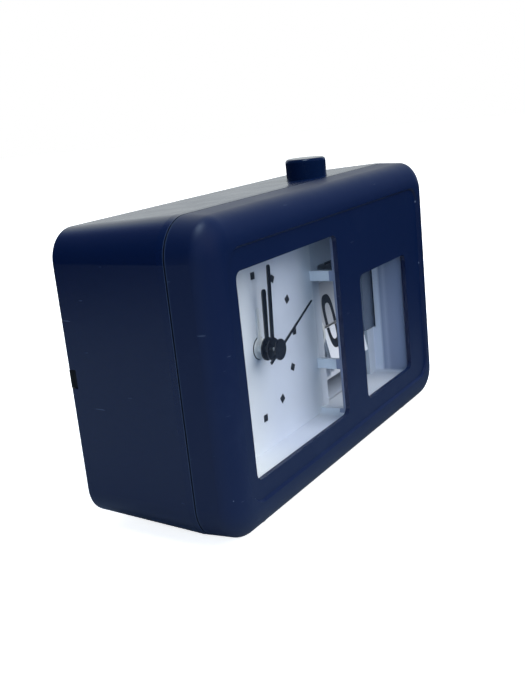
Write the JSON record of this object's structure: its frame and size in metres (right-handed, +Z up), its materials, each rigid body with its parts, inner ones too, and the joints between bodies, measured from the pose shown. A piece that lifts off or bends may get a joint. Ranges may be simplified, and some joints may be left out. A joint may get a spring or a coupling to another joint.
{
  "type": "table clock",
  "caption": "Free-standing table clock: case with a dial window, a smaller flip calendar window, a round snooze button on top and setting knobs behind.",
  "frame": {"origin": "middle of the footprint on the table, at the underside of the feet", "axes": "+Z up, front with the windows towards -Y, +X to the right seen from the front"},
  "size_m": [0.16, 0.057, 0.1041],
  "materials": {
    "navy_plastic": "fine satin, lightly marked",
    "button_plastic": "gloss",
    "clear_plastic": "clear",
    "white_plastic": "satin white",
    "natural_plastic": "milky",
    "grey_plastic": "satin blue-grey",
    "movement_plastic": "satin black",
    "hand_paint": "gloss black",
    "mark_ink": "printed",
    "card_plastic": "smooth card",
    "dark_plastic": "satin",
    "steel": "plain",
    "magnet": "ground",
    "copper": "enamelled wire",
    "board": "lacquered board",
    "battery_skin": "plain sleeve",
    "rubber": "matt"
  },
  "bodies": {
    "case": {"front_shell": "navy_plastic", "rear_shell": "navy_plastic", "back_cover": "navy_plastic", "window_lens": "clear_plastic", "window_tray": "white_plastic", "calendar_frame": "grey_plastic", "movement_front": "movement_plastic", "movement_back": "movement_plastic", "hour_marks": "mark_ink", "buzzer": "dark_plastic", "snooze_switch": "dark_plastic", "drum_axle": "steel", "stator": "steel", "snooze_spring": "steel", "contact_spring": "steel", "contact_plate": "steel", "tray_screws": "steel", "frame_screws": "steel", "movement_screws": "steel", "crystal": "steel", "alarm_switch": "steel", "case_screws": "steel", "cover_screws": "steel", "coil": "copper", "snooze_board": "board", "movement_board": "board", "battery": "battery_skin", "foot_front_left": "rubber", "foot_front_right": "rubber", "foot_rear_left": "rubber", "foot_rear_right": "rubber"},
    "time_knob": {"time_knob": "white_plastic"},
    "alarm_knob": {"alarm_knob": "white_plastic"},
    "alarm_pointer": {"alarm_hand": "natural_plastic", "alarm_wheel": "natural_plastic"},
    "hour_pointer": {"hour_hand": "hand_paint", "hour_wheel": "natural_plastic"},
    "minute_pointer": {"minute_hand": "hand_paint", "cannon_pinion": "natural_plastic"},
    "second_pointer": {"second_hand": "hand_paint", "second_wheel": "natural_plastic"},
    "minute_work": {"minute_work_wheel": "natural_plastic"},
    "fifth_wheel": {"fifth_wheel": "natural_plastic"},
    "rotor": {"rotor": "magnet"},
    "calendar_drum": {"date_drum": "natural_plastic", "date_gear": "dark_plastic", "date_leaves": "card_plastic"},
    "calendar_flap": {"date_flap": "card_plastic"},
    "thumbwheel": {"thumbwheel": "grey_plastic"},
    "snooze_button": {"snooze_button": "button_plastic"},
    "alarm_slider": {"alarm_slider": "dark_plastic"},
    "battery_door": {"battery_door": "navy_plastic"}
  },
  "joints": [
    {"name": "time_knob_turn", "type": "hinge", "parent": "case", "child": "time_knob", "pos_m": [-0.0432, 0.025, 0.06089], "axis": [0, 1, 0], "continuous": true},
    {"name": "alarm_knob_turn", "type": "hinge", "parent": "case", "child": "alarm_knob", "pos_m": [-0.02509, 0.025, 0.0538], "axis": [0, 1, 0], "continuous": true},
    {"name": "alarm_hand_turn", "type": "hinge", "parent": "case", "child": "alarm_pointer", "pos_m": [-0.0334, -0.01, 0.049], "axis": [0, 1, 0], "continuous": true},
    {"name": "hour_hand_turn", "type": "hinge", "parent": "case", "child": "hour_pointer", "pos_m": [-0.0334, -0.01, 0.049], "axis": [0, 1, 0], "continuous": true},
    {"name": "minute_hand_turn", "type": "hinge", "parent": "case", "child": "minute_pointer", "pos_m": [-0.0334, -0.01, 0.049], "axis": [0, 1, 0], "continuous": true},
    {"name": "second_hand_turn", "type": "hinge", "parent": "case", "child": "second_pointer", "pos_m": [-0.0334, -0.01, 0.049], "axis": [0, 1, 0], "continuous": true},
    {"name": "minute_work_turn", "type": "hinge", "parent": "case", "child": "minute_work", "pos_m": [-0.04033, -0.005, 0.053], "axis": [0, 1, 0], "continuous": true},
    {"name": "fifth_wheel_turn", "type": "hinge", "parent": "case", "child": "fifth_wheel", "pos_m": [-0.03083, -0.003, 0.04195], "axis": [0, 1, 0], "continuous": true},
    {"name": "rotor_turn", "type": "hinge", "parent": "case", "child": "rotor", "pos_m": [-0.02426, 0, 0.03956], "axis": [0, 1, 0], "continuous": true},
    {"name": "calendar_turn", "type": "hinge", "parent": "case", "child": "calendar_drum", "pos_m": [0.0346, 0.00034, 0.0401], "axis": [1, 0, 0], "continuous": true},
    {"name": "flap_turn", "type": "hinge", "parent": "calendar_drum", "child": "calendar_flap", "pos_m": [0.0346, -0.00828, 0.04269], "axis": [1, 0, 0], "range_deg": [0, 158]},
    {"name": "thumbwheel_turn", "type": "hinge", "parent": "case", "child": "thumbwheel", "pos_m": [0.0645, 0.01744, 0.0401], "axis": [1, 0, 0], "continuous": true},
    {"name": "snooze_press", "type": "slide", "parent": "case", "child": "snooze_button", "axis": [0, 0, -1], "range_m": [0, 0.0018], "stiffness_N_per_m": 400, "springref_m": -0.002, "deforming": ["snooze_spring"]},
    {"name": "alarm_switch_slide", "type": "slide", "parent": "case", "child": "alarm_slider", "axis": [1, 0, 0], "range_m": [0, 0.004]},
    {"name": "battery_door_turn", "type": "hinge", "parent": "case", "child": "battery_door", "pos_m": [-0.034, 0.0277, 0.0087], "axis": [-1, 0, 0], "range_deg": [0, 95]}
  ],
  "couplings": [
    {"joint": "minute_hand_turn", "follows": "time_knob_turn", "ratio": 1.2},
    {"joint": "minute_work_turn", "follows": "time_knob_turn", "ratio": -0.4},
    {"joint": "hour_hand_turn", "follows": "time_knob_turn", "ratio": 0.1},
    {"joint": "alarm_hand_turn", "follows": "alarm_knob_turn", "ratio": -0.33333},
    {"joint": "fifth_wheel_turn", "follows": "second_hand_turn", "ratio": -5},
    {"joint": "rotor_turn", "follows": "second_hand_turn", "ratio": 30},
    {"joint": "thumbwheel_turn", "follows": "calendar_turn", "ratio": -1.28}
  ]
}
